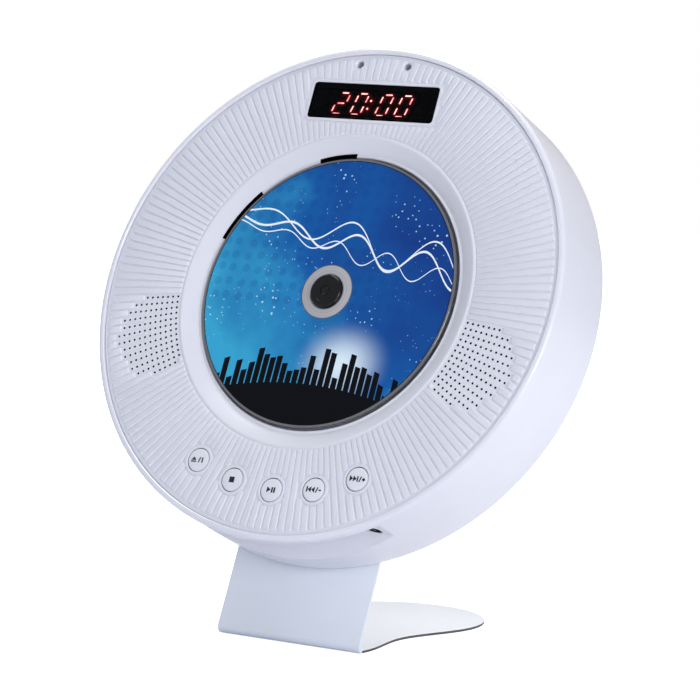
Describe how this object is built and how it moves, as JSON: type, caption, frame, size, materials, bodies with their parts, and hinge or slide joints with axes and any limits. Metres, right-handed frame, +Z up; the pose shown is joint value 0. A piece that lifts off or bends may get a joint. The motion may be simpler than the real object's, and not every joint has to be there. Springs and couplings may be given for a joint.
{
  "type": "wall mounted cd player",
  "caption": "Round disc player with an open disc well, ribbed face, side speaker grilles, display, an arc of buttons and a bent sheet stand; it also hangs on a wall.",
  "frame": {"origin": "middle of the bounding box at the level of the surface the stand's foot rests on", "axes": "+Z up, the face looks towards -Y and leans back 22.5 degrees, +X to the viewer's right"},
  "size_m": [0.22, 0.1566, 0.2489],
  "materials": {
    "drum_plastic": "gloss",
    "panel_plastic": "satin",
    "stand_paint": "satin",
    "window_smoke": "gloss",
    "led_red": "diffuse",
    "button_plastic": "gloss",
    "deck_plastic": "satin",
    "black_plastic": "satin",
    "mat_rubber": "matte",
    "disc_print": "gloss print over a silvered layer",
    "lens_glass": "coated",
    "rod_steel": "ground",
    "screw_steel": "zinc plated",
    "chassis_steel": "zinc plated",
    "gear_nylon": "satin",
    "grommet_rubber": "matte",
    "board_laminate": "satin",
    "motor_steel": "satin",
    "paper_cone": "matte",
    "magnet_ferrite": "matte"
  },
  "bodies": {
    "case": {"rear_housing": "drum_plastic", "front_panel": "panel_plastic", "display_window": "window_smoke", "led_display": "led_red", "ir_receiver": "black_plastic", "display_board": "board_laminate", "button_board": "board_laminate", "tact_switches": "black_plastic", "deck_plate": "deck_plastic", "traverse_chassis": "chassis_steel", "guide_rods": "rod_steel", "sled_motor": "motor_steel", "spindle_motor": "motor_steel", "damper_grommets": "grommet_rubber", "damper_screws": "screw_steel", "deck_screws": "screw_steel", "housing_screws": "screw_steel", "stand_screws": "screw_steel", "main_board": "board_laminate", "board_components": "black_plastic", "power_jack": "black_plastic", "audio_jack": "black_plastic", "jack_board": "board_laminate", "left_speaker_frame": "chassis_steel", "left_speaker_cone": "paper_cone", "left_speaker_magnet": "magnet_ferrite", "right_speaker_frame": "chassis_steel", "right_speaker_cone": "paper_cone", "right_speaker_magnet": "magnet_ferrite", "stand_plate": "stand_paint"},
    "open_button": {"button_open": "button_plastic"},
    "stop_button": {"button_stop": "button_plastic"},
    "play_button": {"button_play": "button_plastic"},
    "previous_button": {"button_previous": "button_plastic"},
    "next_button": {"button_next": "button_plastic"},
    "spindle": {"spindle_shaft": "rod_steel", "turntable": "black_plastic", "turntable_mat": "mat_rubber", "chuck_claws": "black_plastic"},
    "disc": {"compact_disc": "disc_print"},
    "sled": {"pickup_sled": "black_plastic", "objective_lens": "lens_glass"},
    "gear": {"drive_gear": "gear_nylon"},
    "pinion": {"motor_pinion": "gear_nylon"}
  },
  "joints": [
    {"name": "open_press", "type": "slide", "parent": "case", "child": "open_button", "axis": [0, 0.9239, -0.3827], "range_m": [0, 0.0006], "stiffness_N_per_m": 900},
    {"name": "stop_press", "type": "slide", "parent": "case", "child": "stop_button", "axis": [0, 0.9239, -0.3827], "range_m": [0, 0.0006], "stiffness_N_per_m": 900},
    {"name": "play_press", "type": "slide", "parent": "case", "child": "play_button", "axis": [0, 0.9239, -0.3827], "range_m": [0, 0.0006], "stiffness_N_per_m": 900},
    {"name": "previous_press", "type": "slide", "parent": "case", "child": "previous_button", "axis": [0, 0.9239, -0.3827], "range_m": [0, 0.0006], "stiffness_N_per_m": 900},
    {"name": "next_press", "type": "slide", "parent": "case", "child": "next_button", "axis": [0, 0.9239, -0.3827], "range_m": [0, 0.0006], "stiffness_N_per_m": 900},
    {"name": "spindle_turn", "type": "hinge", "parent": "case", "child": "spindle", "pos_m": [0, -0.02757, 0.14398], "axis": [0, -0.9239, 0.3827], "continuous": true},
    {"name": "disc_lift", "type": "slide", "parent": "spindle", "child": "disc", "axis": [0, -0.9239, 0.3827], "range_m": [0, 0.03]},
    {"name": "sled_slide", "type": "slide", "parent": "case", "child": "sled", "axis": [0, 0.3827, 0.9239], "range_m": [0, 0.033]},
    {"name": "gear_turn", "type": "hinge", "parent": "case", "child": "gear", "pos_m": [0.031, -0.00809, 0.17271], "axis": [0, -0.9239, 0.3827], "range_deg": [-396.9, 3]},
    {"name": "pinion_turn", "type": "hinge", "parent": "case", "child": "pinion", "pos_m": [0.031, -0.01206, 0.1579], "axis": [0, -0.9239, 0.3827], "range_deg": [-12, 1587.6]}
  ],
  "couplings": [
    {"joint": "gear_turn", "follows": "sled_slide", "rad_per_m": -208.33},
    {"joint": "pinion_turn", "follows": "sled_slide", "rad_per_m": 833.33}
  ]
}
